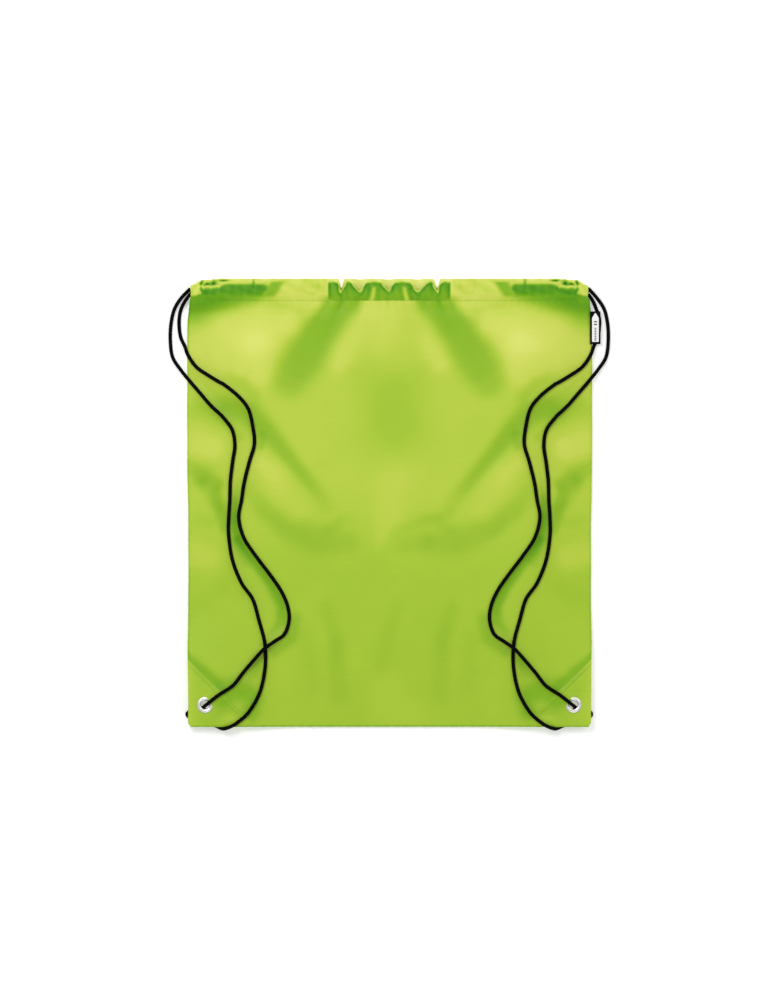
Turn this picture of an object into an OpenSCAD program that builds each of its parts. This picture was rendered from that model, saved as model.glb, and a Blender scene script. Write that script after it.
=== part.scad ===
// Drawstring bag lying flat on its back, mouth towards +Y.
// Origin: centre of the resting face. Millimetres, +Z up.

/* [Bag] */
// Width across the side seams
bag_w = 360; // [320:10:400]
// Height from the bottom fold to the top of the casings
bag_h = 400; // [360:10:440]
// Thickness of the panel cloth with its seams pressed in
cloth_t = 0.8; // [0.6:0.1:1]
// Most that the front panel stands off the back panel
loft = 12; // [10:0.5:15]
// How high the cord knots hold the bottom corners
corner_lift = 8.6; // [8.2:0.1:10]

/* [Casings] */
// Height of each casing, from its stitch line to its top edge
casing_h = 19; // [17:1:22]
// Thickness of a casing with its two cords inside
casing_t = 4.8; // [4.6:0.1:5.4]
// Clear height of the mouth between the casings
mouth_gap = 5; // [4.6:0.1:6]

/* [Cords] */
// Diameter of the braided cord
cord_d = 3; // [2.6:0.1:3]

/* [Eyelets] */
// Diameter of the eyelet's throat
throat_d = 7.5; // [7:0.1:8]
// Diameter across the eyelet's flange
flange_d = 14.5; // [13:0.5:15]
// Distance of the eyelet from the side seam
eyelet_in = 15.3; // [15:0.1:17]
// Distance of the eyelet from the bottom fold
eyelet_up = 19; // [18:0.5:21]

/* [Corner patches] */
// Length of a patch along the side seam and along the bottom fold
patch_leg = 60; // [50:1:70]
// Thickness of the patch cloth
patch_t = 0.4; // [0.3:0.1:0.5]

/* [Label] */
// How far the label stands out of the side seam
label_w = 8.6; // [7:0.2:10]
// Length of the label along the side seam
label_h = 29.4; // [25:0.2:32]

/* [Hidden] */

lime = [0.62, 0.78, 0.2];
lime_dark = [0.52, 0.7, 0.16];
thread = [0.5, 0.68, 0.16];
black = [0.05, 0.05, 0.05];
nickel = [0.8, 0.8, 0.78];

half_w = bag_w / 2;
fold_y = -bag_h / 2;
fold_t = 0.8;
stitch_y = bag_h / 2 - casing_h;
layer_gap = 0.1;
bite = 0.1;
eyelet_x = half_w - eyelet_in;
eyelet_y = fold_y + eyelet_up;
side_reach = 70;
bottom_reach = 80;
edge_rise = 2;
edge_reach = 30;
mouth_rise = casing_t / 2 - cloth_t / 2;
corner_gap = casing_t + 0.2;
seam_open_y = stitch_y - 13;
flat_r = 20;
lift_reach = 70;
cord_r = cord_d / 2;
cord_sides = 8;

// 0 below zero, 1 above one and a smooth step between
function ease(v) = let (c = min(1, max(0, v))) c * c * (3 - 2 * c);
// Rises from 0 at a seam to 1 at its reach, like a filled pocket
function swell(d, reach) = sin(90 * min(1, max(0, d) / reach));
// 1 round an eyelet, where the layers are clamped, and 0 far from it
function clamped(x, y) =
    1 - ease((norm([abs(x) - eyelet_x, y - eyelet_y]) - flat_r) / lift_reach);
// The underside of the back panel
function back_z(x, y) =
    let (
        d = min(half_w - abs(x), y - fold_y),
        curl = edge_rise * pow(max(0, 1 - d / edge_reach), 2),
        near = clamped(x, y),
        top = ease((y - 120) / (stitch_y - 120))
    )
    corner_lift * near + curl * (1 - near) * (1 - top)
        + mouth_rise * ease((y - stitch_y + 16) / 16);
// The room between the panels
function room_z(x, y) =
    let (
        mouth = 1 - (1 - (mouth_gap - 0.3) / loft) * ease((y - stitch_y + 16) / 16),
        parted = (corner_gap - cloth_t - layer_gap) * ease((y - seam_open_y) / 13)
    )
    layer_gap + parted + loft * mouth * (1 - clamped(x, y))
        * swell(half_w - abs(x), side_reach) * swell(y - fold_y, bottom_reach);
// The underside and the outside of the front panel
function front_low(x, y) = back_z(x, y) + cloth_t + room_z(x, y);
function front_z(x, y) = front_low(x, y) + cloth_t;

// Grid lines lie closer together towards the side seams, the bottom fold and the casings
across = 12;
along = 26;
cols = [for (i = [-across:across]) half_w * (0.5 * i / across + 0.5 * sin(90 * i / across))];
rows = [for (j = [0:along])
    let (v = j / along)
    fold_y + fold_t + (bag_h - casing_h - fold_t) * (0.5 * v + 0.25 * (1 - cos(180 * v)))];

// A closed sheet between two surfaces, over a grid of columns and rows.
// level 0 is the back panel's underside and level 1 the front panel's underside.
function level_z(level, x, y) = level == 0 ? back_z(x, y) : front_low(x, y);
module sheet(xs, ys, level, low, high) {
    nx = len(xs);
    ny = len(ys);
    count = nx * ny;
    points = concat(
        [for (y = ys) for (x = xs) [x, y, level_z(level, x, y) + low]],
        [for (y = ys) for (x = xs) [x, y, level_z(level, x, y) + high]]
    );
    faces = concat(
        [for (j = [0:ny - 2]) for (i = [0:nx - 2]) let (a = j * nx + i)
            each [[a, a + 1, a + nx + 1], [a, a + nx + 1, a + nx]]],
        [for (j = [0:ny - 2]) for (i = [0:nx - 2]) let (a = count + j * nx + i)
            each [[a, a + nx + 1, a + 1], [a, a + nx, a + nx + 1]]],
        [for (i = [0:nx - 2]) let (a = i, b = count - nx + i)
            each [[a, a + count, a + count + 1], [a, a + count + 1, a + 1],
                [b, b + count + 1, b + count], [b, b + 1, b + count + 1]]],
        [for (j = [0:ny - 2]) let (a = j * nx, b = j * nx + nx - 1)
            each [[a, a + nx, a + nx + count], [a, a + nx + count, a + count],
                [b, b + nx + count, b + nx], [b, b + count, b + nx + count]]]
    );
    polyhedron(points, faces);
}

// A closed solid through a list of rings that all have the same number of points
module loft_rings(rings) {
    n = len(rings[0]);
    m = len(rings);
    polyhedron(
        [for (ring = rings) each ring],
        concat(
            [[for (i = [0:n - 1]) i]],
            [for (k = [0:m - 2]) for (i = [0:n - 1])
                let (a = k * n + i, b = k * n + (i + 1) % n)
                each [[a, a + n, b], [b, a + n, b + n]]],
            [[for (i = [n - 1:-1:0]) (m - 1) * n + i]]
        )
    );
}

module at_eyelet(side) {
    translate([side * eyelet_x, eyelet_y, 0]) children();
}

barrel_r = throat_d / 2 + 0.7;
washer_t = 0.7;
roll_t = 0.6;
flange_t = 1;
stack_low = corner_lift - patch_t + bite;
stack_high = corner_lift + 2 * cloth_t + layer_gap + patch_t - bite;

module eyelet_holes() {
    for (side = [-1, 1])
        at_eyelet(side) translate([0, 0, -1]) cylinder(r = barrel_r + 0.1, h = 20, $fn = 48);
}

module front_panel() {
    color(lime) difference() {
        sheet(cols, rows, 1, 0, cloth_t);
        eyelet_holes();
    }
}

module back_panel() {
    color(lime) difference() {
        sheet(cols, rows, 0, 0, cloth_t);
        eyelet_holes();
    }
}

// The strip of cloth that turns from the back panel up to the front panel
module bottom_fold() {
    y = fold_y;
    far = fold_y + fold_t + 0.2;
    color(lime) loft_rings([for (x = cols) [
        [x, far, back_z(x, y)],
        [x, far, front_z(x, y)],
        [x, y, front_z(x, y) - 0.2],
        [x, y, back_z(x, y) + 0.2]
    ]]);
}

// Centre height of each casing, which follows its panel's top edge
function front_casing_z(x) = front_low(x, stitch_y) + cloth_t / 2;
function back_casing_z(x) = back_z(x, stitch_y) + cloth_t / 2;
// One ring of the casing's flat tube in the plane across it
function casing_ring(x, z, half_h, half_t) = [for (i = [0:13])
    let (a = 360 * i / 14, c = cos(a), s = sin(a))
    [
        x,
        bag_h / 2 - casing_h / 2 + half_h * sign(c) * pow(abs(c), 2 / 3),
        z + half_t * sign(s) * pow(abs(s), 2 / 3)
    ]];

module casing(heights) {
    wall = 0.5;
    last = len(cols) - 1;
    stretch = [for (k = [0:last]) cols[k] * (k == 0 || k == last ? 1.01 : 1)];
    difference() {
        loft_rings([for (k = [0:last])
            casing_ring(cols[k], heights[k], casing_h / 2, casing_t / 2)]);
        loft_rings([for (k = [0:last])
            casing_ring(stretch[k], heights[k], casing_h / 2 - wall * 2, casing_t / 2 - wall)]);
    }
}

module front_casing() {
    color(lime_dark) casing([for (x = cols) front_casing_z(x)]);
}

module back_casing() {
    color(lime_dark) casing([for (x = cols) back_casing_z(x)]);
}

// The seam allowance that joins the panels inside each side edge
module side_seam(side) {
    seam_w = 2.5;
    near = side * (half_w - 0.1);
    far = side * (half_w - seam_w);
    ys = [for (y = rows) if (y < stitch_y - 4) y];
    ring = function(y) [
        [near, y, back_z(near, y) + cloth_t - bite],
        [near, y, front_low(near, y) + bite],
        [far, y, front_low(far, y) + bite],
        [far, y, back_z(far, y) + cloth_t - bite]
    ];
    rings = [for (y = ys) ring(y)];
    color(lime_dark) loft_rings(side > 0 ? rings : [for (r = rings) [r[3], r[2], r[1], r[0]]]);
}

module left_side_seam() {
    side_seam(-1);
}

module right_side_seam() {
    side_seam(1);
}

// The corner of a side of the bag that a triangular patch covers
module corner_prism(side, leg) {
    linear_extrude(height = 30)
        polygon([
            [side * (half_w + 1), fold_y - 1],
            [side * (half_w + 1), fold_y + leg],
            [side * (half_w - leg), fold_y - 1]
        ]);
}

patch_cols = [for (x = cols) if (x > half_w - patch_leg - 12) x];
patch_rows = [for (y = rows) if (y < fold_y + patch_leg + 12) y];
function mirrored(xs) = [for (i = [len(xs) - 1:-1:0]) -xs[i]];
function side_cols(side) = side > 0 ? patch_cols : mirrored(patch_cols);

module patch(side, level) {
    low = level == 0 ? bite - patch_t : cloth_t - bite;
    color(lime) difference() {
        intersection() {
            sheet(side_cols(side), patch_rows, level, low, low + patch_t);
            corner_prism(side, patch_leg);
        }
        eyelet_holes();
    }
}

module front_left_patch() {
    patch(-1, 1);
}

module front_right_patch() {
    patch(1, 1);
}

module back_left_patch() {
    patch(-1, 0);
}

module back_right_patch() {
    patch(1, 0);
}

// A line of thread on top of a patch, along its slanting hem
module patch_thread_line(side, level) {
    hem = 3.5;
    thread_w = 0.6;
    low = level == 0 ? -patch_t - 0.1 : cloth_t + patch_t - 2 * bite;
    intersection() {
        sheet(side_cols(side), patch_rows, level, low, low + 0.3);
        difference() {
            corner_prism(side, patch_leg - hem);
            translate([0, 0, -1]) scale([1, 1, 2]) corner_prism(side, patch_leg - hem - thread_w);
        }
    }
}

module patch_stitching(side) {
    color(thread) {
        patch_thread_line(side, 0);
        patch_thread_line(side, 1);
    }
}

module left_patch_stitching() {
    patch_stitching(-1);
}

module right_patch_stitching() {
    patch_stitching(1);
}

// The line of thread that closes a casing, on both faces of its panel
module casing_thread_line(level) {
    thread_w = 0.6;
    ys = [stitch_y - 0.6 - thread_w, stitch_y - 0.6];
    sheet(cols, ys, level, -0.2, 0.1);
    sheet(cols, ys, level, cloth_t - 0.1, cloth_t + 0.2);
}

module front_casing_stitching() {
    color(thread) casing_thread_line(1);
}

module back_casing_stitching() {
    color(thread) casing_thread_line(0);
}

module eyelet(side) {
    color(nickel) at_eyelet(side) rotate_extrude($fn = 64) {
        difference() {
            translate([throat_d / 2, stack_low - washer_t - roll_t])
                square([flange_d / 2 - throat_d / 2, stack_high + flange_t - stack_low + washer_t + roll_t]);
            translate([barrel_r, stack_low - washer_t])
                square([flange_d, stack_high - stack_low + washer_t]);
            translate([barrel_r + 1.2, stack_low - washer_t - roll_t - 1])
                square([flange_d, washer_t + roll_t]);
            translate([flange_d / 2, stack_high + flange_t]) circle(r = flange_t * 0.7, $fn = 32);
            translate([throat_d / 2, stack_high + flange_t]) circle(r = flange_t * 0.5, $fn = 32);
        }
    }
}

module left_eyelet() {
    eyelet(-1);
}

module right_eyelet() {
    eyelet(1);
}

module eyelet_washer(side) {
    color(nickel) at_eyelet(side) rotate_extrude($fn = 64)
        translate([barrel_r + 0.1, stack_low - washer_t + 0.05])
            square([flange_d / 2 - barrel_r - 0.6, washer_t - 0.05]);
}

module left_eyelet_washer() {
    eyelet_washer(-1);
}

module right_eyelet_washer() {
    eyelet_washer(1);
}

// The overhand knot that holds both ends of a cord behind its eyelet
knot_r = 5;
knot_half_t = 3.1;
knot_z = 3.4;
knot_aside = [4, -5];
module knot(side) {
    color(black) at_eyelet(side) translate([side * knot_aside.x, knot_aside.y, knot_z])
    rotate_extrude($fn = 48) {
        translate([0, -knot_half_t]) square([knot_r - knot_half_t, 2 * knot_half_t]);
        intersection() {
            translate([knot_r - knot_half_t, 0]) circle(r = knot_half_t, $fn = 48);
            translate([0, -knot_half_t]) square([knot_r, 2 * knot_half_t]);
        }
    }
}

module left_knot() {
    knot(-1);
}

module right_knot() {
    knot(1);
}

// A cord: one tube swept along its route, with a ring of points across every route point
function unit(v) = v / norm(v);
function heading(route, k) =
    unit(route[min(len(route) - 1, k + 1)] - route[max(0, k - 1)]);
function cord_ring(centre, ahead) =
    let (
        aside = unit(cross(abs(ahead.z) > 0.9 ? [1, 0, 0] : [0, 0, 1], ahead)),
        up = cross(ahead, aside)
    )
    [for (i = [0:cord_sides - 1])
        let (a = 360 * i / cord_sides)
        centre + cord_r * (cos(a) * up + sin(a) * aside)];
module cord(route) {
    color(black)
        loft_rings([for (k = [0:len(route) - 1]) cord_ring(route[k], heading(route, k))]);
}

// The routes are given for the left side of a bag of the standard size
function fitted(route) = [for (p = route) [p.x * bag_w / 360, p.y * bag_h / 400, p.z]];
function on_side(route, side) = [for (p = fitted(route)) [-side * p.x, p.y, p.z]];

// The strand that leaves the corner on the outside and goes round the bottom fold
outer_from_back_casing = [[-178, 191.3, 2.6], [-186.5, 182.5, 2.2]];
outer_from_front_casing = [[-178, 191.3, 7.6], [-186, 182.5, 4]];
outer_top = [
    [-192.5, 172.5, 1.6], [-195.5, 159, 1.6], [-196, 144, 1.6], [-194, 130, 1.8], [-187, 119, 3.6],
    [-179, 109, 6], [-169.5, 98, 7.6], [-160, 87, 9.6], [-151.5, 79, 11]
];
outer_strap = [
    [-149, 76.5, 11.4], [-140.5, 65, 13], [-138, 51, 13.2], [-140, 36, 13], [-142, 19, 12.6],
    [-142.5, 2, 12.4], [-143.5, -14, 12.4], [-143.5, -30, 12.6], [-140, -52, 13.2], [-132, -72, 14.4],
    [-122, -86.5, 15.2], [-116.5, -105, 15.6], [-111.5, -124, 15.4], [-110.5, -141, 14.2],
    [-112.5, -158, 12.6], [-117, -173, 11.6], [-126, -188, 11.4], [-136, -197, 12],
    [-142, -200.5, 12.4], [-146, -202, 10.6]
];
outer_end = [
    [-148.5, -202.5, 7.8], [-151, -202, 5], [-157, -199.5, 2.8], [-167, -197, 1.8],
    [-176, -194.5, 1.8], [-181, -190, 1.8], [-178, -186.5, 2], [-174, -186, 2.6],
    [-171.5, -186, 3]
];
// The strand that leaves the corner on the inside and goes down through the eyelet
inner_from_front_casing = [[-178, 186.3, 7.6], [-183, 179.5, 5], [-186.5, 172.5, 2.4]];
inner_from_back_casing = [[-178, 186.3, 2.6], [-182, 180.5, 2.2], [-185, 173.5, 1.7]];
inner_top = [
    [-188, 165, 1.6], [-188, 156, 1.6], [-186.5, 147, 1.6], [-183, 139.5, 2.8],
    [-180, 131.5, 5.4], [-172.5, 121, 7], [-161, 113, 9.3], [-151, 107, 10.8]
];
inner_strap = [
    [-148, 105.5, 11.4], [-135, 95, 14], [-126, 83.5, 14.8], [-122, 68, 15.2], [-120.5, 52, 15.2],
    [-125, 36, 15], [-129.5, 18, 14.6], [-132, 2, 14.2], [-134.5, -14, 14.2], [-130, -31.5, 14.8],
    [-119.5, -47.5, 15.6], [-107, -64, 15.8], [-97, -78.5, 15.8], [-91, -92, 15.8],
    [-89.5, -105, 15.8], [-93.5, -117.5, 16.2], [-103, -124.5, 17.6], [-112, -131, 18.4],
    [-121, -141, 16.8], [-130, -151.5, 14], [-139, -163, 12.8], [-147.5, -169, 12.6]
];
inner_end = [
    [-151.5, -171.5, 12.6], [-155.5, -174.5, 13], [-160, -178, 13.6], [-163, -180.5, 12.9],
    [-165, -182, 10.4], [-165.5, -182.5, 7.8], [-166, -183.5, 5.4]
];

// Both casings hold a run of each cord, side by side, and each cord turns back at the
// far corner. In the front casing, level 1, the left cord's lane is the one nearer the fold.
lane_low = bag_h / 2 - casing_h / 2 - 4.2;
lane_high = lane_low + 5;
lane_end = (half_w - 2) / half_w;
lane_turn = (half_w - 6.5) / half_w;
function lane(from, y, level) =
    [for (x = [-lane_end, -0.9, -0.8, -0.6, 0, 0.6, 0.8, 0.9, lane_turn])
        [from * x * half_w, y, level == 1 ? front_casing_z(x * half_w) : back_casing_z(x * half_w)]];
function reversed(route) = [for (i = [len(route) - 1:-1:0]) route[i]];
function turn(side, y_front, y_back) =
    let (
        x = side * lane_turn * half_w,
        a = [x, y_front, front_casing_z(x)],
        b = [x, y_back, back_casing_z(x)],
        middle = (a + b) / 2,
        out = norm(a - b) / 2
    )
    [for (t = [45, 90, 135])
        middle + (a - middle) * cos(t) + [side * out * sin(t), 0, 0]];
module drawcord_in_casing(side) {
    y_front = side < 0 ? lane_low : lane_high;
    y_back = side < 0 ? lane_high : lane_low;
    cord(concat(
        lane(-side, y_front, 1),
        turn(-side, y_front, y_back),
        reversed(lane(-side, y_back, 0))
    ));
}

module left_drawcord_in_casing() {
    drawcord_in_casing(-1);
}

module right_drawcord_in_casing() {
    drawcord_in_casing(1);
}

module left_outer_cord_top() {
    cord(on_side(concat(outer_from_back_casing, outer_top), -1));
}

module left_outer_cord_strap() {
    cord(on_side(outer_strap, -1));
}

module left_outer_cord_end() {
    cord(on_side(outer_end, -1));
}

module left_inner_cord_top() {
    cord(on_side(concat(inner_from_front_casing, inner_top), -1));
}

module left_inner_cord_strap() {
    cord(on_side(inner_strap, -1));
}

module left_inner_cord_end() {
    cord(on_side(inner_end, -1));
}

module right_outer_cord_top() {
    cord(on_side(concat(outer_from_front_casing, outer_top), 1));
}

module right_outer_cord_strap() {
    cord(on_side(outer_strap, 1));
}

module right_outer_cord_end() {
    cord(on_side(outer_end, 1));
}

module right_inner_cord_top() {
    cord(on_side(concat(inner_from_back_casing, inner_top), 1));
}

module right_inner_cord_strap() {
    cord(on_side(inner_strap, 1));
}

module right_inner_cord_end() {
    cord(on_side(inner_end, 1));
}

// The woven label sewn into the right side seam, and the printed face on it
label_y = 156.2;
label_low = 4.2;
label_t = 0.5;
label_x = half_w + 0.4;
module side_label() {
    color(black) translate([label_x, label_y - label_h / 2, label_low])
        cube([label_w, label_h, label_t]);
}

module side_label_print() {
    border = 0.9;
    neck = 4;
    neck_inset = 2.2;
    color("white") translate([label_x + border, label_y - label_h / 2, label_low + label_t])
        linear_extrude(height = 0.1)
            polygon([
                [0, border],
                [label_w - 2 * border, border],
                [label_w - 2 * border, label_h - border - neck],
                [label_w - 2 * border - neck_inset, label_h - border],
                [neck_inset, label_h - border],
                [0, label_h - border - neck]
            ]);
}

front_panel();
back_panel();
bottom_fold();
front_casing();
back_casing();
left_side_seam();
right_side_seam();
front_left_patch();
front_right_patch();
back_left_patch();
back_right_patch();
front_casing_stitching();
back_casing_stitching();
left_patch_stitching();
right_patch_stitching();
left_eyelet();
right_eyelet();
left_eyelet_washer();
right_eyelet_washer();
left_knot();
right_knot();
left_drawcord_in_casing();
right_drawcord_in_casing();
left_outer_cord_top();
left_outer_cord_strap();
left_outer_cord_end();
left_inner_cord_top();
left_inner_cord_strap();
left_inner_cord_end();
right_outer_cord_top();
right_outer_cord_strap();
right_outer_cord_end();
right_inner_cord_top();
right_inner_cord_strap();
right_inner_cord_end();
side_label();
side_label_print();
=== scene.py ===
"""Looks of the drawstring bag: cloth, cords, eyelets, stitches and label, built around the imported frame.

Shapes are worked out in millimetres, in the frame of the CAD, and turned into metres as each mesh is made.
"""
import math

import bpy
import numpy as np
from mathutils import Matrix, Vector


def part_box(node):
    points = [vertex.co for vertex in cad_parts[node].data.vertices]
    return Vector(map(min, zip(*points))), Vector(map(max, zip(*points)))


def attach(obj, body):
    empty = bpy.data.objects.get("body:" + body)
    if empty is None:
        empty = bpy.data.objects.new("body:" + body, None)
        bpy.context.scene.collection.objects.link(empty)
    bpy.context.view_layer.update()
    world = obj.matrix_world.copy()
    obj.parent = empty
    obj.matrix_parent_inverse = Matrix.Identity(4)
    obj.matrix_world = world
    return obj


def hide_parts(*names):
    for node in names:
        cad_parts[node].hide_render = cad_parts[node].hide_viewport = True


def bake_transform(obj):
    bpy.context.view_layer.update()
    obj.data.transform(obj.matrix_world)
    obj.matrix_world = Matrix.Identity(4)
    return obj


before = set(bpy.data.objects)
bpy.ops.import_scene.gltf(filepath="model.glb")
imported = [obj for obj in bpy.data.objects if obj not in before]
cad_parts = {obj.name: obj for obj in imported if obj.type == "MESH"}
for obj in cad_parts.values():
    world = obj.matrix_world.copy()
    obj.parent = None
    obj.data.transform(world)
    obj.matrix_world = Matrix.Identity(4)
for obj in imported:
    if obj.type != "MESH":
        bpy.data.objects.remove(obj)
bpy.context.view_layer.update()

MM = 0.001


def box_mm(node):
    """Lowest and highest corner of a CAD node in millimetres."""
    low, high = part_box(node)
    return np.array(low) / MM, np.array(high) / MM


# ---- sizes from the frame

HALF_W, STITCH_Y, _ = box_mm("front_panel")[1]
TOP_Y = box_mm("front_casing")[1][1]
FOLD_Y = box_mm("bottom_fold")[0][1]
EYELET_LOW, EYELET_HIGH = box_mm("left_eyelet")
EYELET_X = -(EYELET_LOW[0] + EYELET_HIGH[0]) / 2
EYELET_Y = (EYELET_LOW[1] + EYELET_HIGH[1]) / 2
FLANGE_R = (EYELET_HIGH[0] - EYELET_LOW[0]) / 2
# Sizes that the CAD's cloth and cords have
CLOTH_T = 0.8
LAYER_GAP = 0.1
LOFT = 12
CORNER_LIFT = 8.6
CASING_T = 4.8
MOUTH_GAP = 5
CORNER_GAP = CASING_T + 0.2
CORD_D = 3
CORD_R = CORD_D / 2
# Sizes of the looks only: walls of cloth, its gap to the floor, the hole in the cloth under an eyelet
CLOTH_WALL = 0.35
CASING_WALL = 0.3
FLOOR_GAP = 0.06
EYELET_HOLE_R = 5.2
# Relief of the cord's braid, and the length of one turn of its yarns
BRAID = 0.09
BRAID_LAY = 12
# The casings' row of stitches, and how far the gathers reach from the middle
STITCH_LINE_Y = STITCH_Y - 0.9
GATHER_HALF_W = 55
# Edges of more than this many degrees stay sharp in the shading of cloth
SOFT_EDGE = 60
# Height of a fold in millimetres for each unit of its painted shading
FOLD_HEIGHT = 3.4


# ---- shapes of curves

def ease(v):
    """A smooth step from 0 to 1."""
    c = np.clip(v, 0, 1)
    return c * c * (3 - 2 * c)


def swell(d, reach):
    """A rise from 0 at a seam to 1 at its reach."""
    return np.sin(np.pi / 2 * np.clip(d / reach, 0, 1))


def bell(d, half_width):
    """A bump of height 1 at d = 0."""
    return np.exp(-((d / half_width) ** 2))


def mix(a, b, amount):
    """From a to b as amount goes from 0 to 1."""
    return a + (b - a) * amount


# ---- the heights of the CAD's cloth

def clamped(x, y):
    """1 round an eyelet, where the layers are pressed together, and 0 far from it."""
    return 1 - ease((np.hypot(np.abs(x) - EYELET_X, y - EYELET_Y) - 20) / 70)


def back_z(x, y):
    """The underside of the back panel."""
    d = np.minimum(HALF_W - np.abs(x), y - FOLD_Y)
    curl = 2 * np.clip(1 - d / 30, 0, None) ** 2
    near = clamped(x, y)
    top = ease((y - 120) / (STITCH_Y - 120))
    rise = (CASING_T - CLOTH_T) / 2 * ease((y - STITCH_Y + 16) / 16)
    return CORNER_LIFT * near + curl * (1 - near) * (1 - top) + rise


def room_z(x, y):
    """The room between the panels."""
    mouth = 1 - (1 - (MOUTH_GAP - 0.3) / LOFT) * ease((y - STITCH_Y + 16) / 16)
    parted = (CORNER_GAP - CLOTH_T - LAYER_GAP) * ease((y - STITCH_Y + 13) / 13)
    full = LOFT * mouth * (1 - clamped(x, y))
    return LAYER_GAP + parted + full * swell(HALF_W - np.abs(x), 70) * swell(y - FOLD_Y, 80)


def front_z(x, y):
    """The outside of the front panel."""
    return back_z(x, y) + 2 * CLOTH_T + room_z(x, y)


# ---- camera

EYE_HEIGHT = 5.0
VIEW_HEIGHT = 0.895
camera_data = bpy.data.cameras.new("camera")
camera_data.sensor_width = 36
camera_data.lens = 36 * EYE_HEIGHT / VIEW_HEIGHT
camera = bpy.data.objects.new("camera", camera_data)
camera.location = (-0.0034, 0.0021, EYE_HEIGHT + 0.003)
bpy.context.scene.collection.objects.link(camera)
bpy.context.scene.camera = camera


# ---- mesh helpers

def new_object(name, points, faces, sharp=None):
    """An object from points in millimetres, smooth shaded but for edges of more than sharp degrees."""
    mesh = bpy.data.meshes.new(name)
    mesh.from_pydata((np.asarray(points, float) * MM).tolist(), [], [tuple(f) for f in faces])
    mesh.validate()
    mesh.shade_smooth()
    if sharp:
        mesh.set_sharp_from_angle(angle=math.radians(sharp))
    piece = bpy.data.objects.new(name, mesh)
    bpy.context.scene.collection.objects.link(piece)
    return piece


def cloth_object(name, points, faces, tone, inside=0.0, sharp=SOFT_EDGE):
    """Two layers of cloth, with a tone at each outer point, from 0 (deep green, painted shade) to 1 (pale
    lime, painted light); inside lowers the inner layer's tone as painted shade.
    """
    piece = new_object(name, points, faces, sharp)
    # the tone attribute carries the cloth's colour with its painted light and shade
    attribute = piece.data.attributes.new("tone", "FLOAT", "POINT")
    attribute.data.foreach_set("value", np.concatenate([tone, tone - inside]).astype(np.float32))
    return piece


def as_points(x, y, z):
    """Grids of coordinates as one list of points."""
    return np.stack([x, y, z], axis=-1).reshape(-1, 3)


def grid_faces(rows, cols, wrap=False):
    """Four-sided faces over a grid of points; wrap joins its last column to its first."""
    last = cols if wrap else cols - 1
    j, i = np.meshgrid(np.arange(rows - 1), np.arange(last), indexing="ij")
    a = j * cols + i
    b = j * cols + (i + 1) % cols
    return np.stack([a, b, b + cols, a + cols], axis=-1).reshape(-1, 4)


def shell(top, faces, under):
    """Closes a layer of faces with a second layer of points under it, and a rim round every open edge."""
    count = len(top)
    faces = np.asarray(faces)
    edges = np.concatenate([faces[:, [k, (k + 1) % faces.shape[1]]] for k in range(faces.shape[1])])
    keys = set(map(tuple, edges.tolist()))
    rim = [(b, a, a + count, b + count) for a, b in keys if (b, a) not in keys]
    lower = faces[:, ::-1] + count
    return np.concatenate([top, under]), faces.tolist() + lower.tolist() + rim


def smooth_path(points, spacing):
    """A smooth curve through points, as points at an even spacing along it."""
    p = np.asarray(points, float)
    p = np.concatenate([[2 * p[0] - p[1]], p, [2 * p[-1] - p[-2]]])
    t = np.linspace(0, 1, 24, endpoint=False)[:, None]
    out = []
    for a, b, c, d in zip(p, p[1:], p[2:], p[3:]):
        square, cube = 2 * a - 5 * b + 4 * c - d, 3 * b - a - 3 * c + d
        out.append(0.5 * (2 * b + (c - a) * t + square * t**2 + cube * t**3))
    fine = np.concatenate([*out, p[-2][None]])
    along = np.concatenate([[0], np.cumsum(np.linalg.norm(np.diff(fine, axis=0), axis=1))])
    count = max(2, int(round(along[-1] / spacing)) + 1)
    marks = np.linspace(0, along[-1], count)
    return np.stack([np.interp(marks, along, fine[:, k]) for k in range(3)], axis=1)


def frames_along(path):
    """Two unit vectors across the path at each of its points, turning as little as they can."""
    ahead = np.gradient(path, axis=0)
    ahead /= np.linalg.norm(ahead, axis=1)[:, None]
    start = np.array([0, 0, 1.0]) if abs(ahead[0][2]) < 0.9 else np.array([1.0, 0, 0])
    side = np.cross(start, ahead[0])
    side /= np.linalg.norm(side)
    sides = []
    for direction in ahead:
        side = side - direction * side.dot(direction)
        side /= np.linalg.norm(side)
        sides.append(side)
    sides = np.array(sides)
    return sides, np.cross(ahead, sides)


def tube_mesh(path, radius, sides, braid=0.0):
    """Points and faces of a tube along path, with the relief of a braid in millimetres."""
    side, up = frames_along(path)
    turn = np.linspace(0, 2 * np.pi, sides, endpoint=False)
    spacing = np.linalg.norm(path[1] - path[0])
    lay = 2 * np.pi * np.arange(len(path))[:, None] * spacing / BRAID_LAY
    relief = braid * np.maximum(np.cos(5 * (turn - lay)), np.cos(5 * (turn + lay)))
    r = (np.asarray(radius, float).reshape(-1, 1) + relief)[..., None]
    across = np.cos(turn)[:, None] * side[:, None] + np.sin(turn)[:, None] * up[:, None]
    points = (path[:, None] + r * across).reshape(-1, 3)
    faces = grid_faces(len(path), sides, wrap=True).tolist()
    for end, order in ((0, -1), (len(path) - 1, 1)):
        centre = len(points)
        points = np.concatenate([points, [path[end]]])
        ring = [end * sides + i for i in range(sides)][::order]
        faces += [(ring[i], ring[(i + 1) % sides], centre) for i in range(sides)]
    return points, faces


def joined(parts):
    """One list of points and one of faces from several."""
    points, faces, count = [], [], 0
    for p, f in parts:
        points.append(p)
        faces += [tuple(v + count for v in face) for face in f]
        count += len(p)
    return np.concatenate(points), faces


# ---- cords

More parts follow.
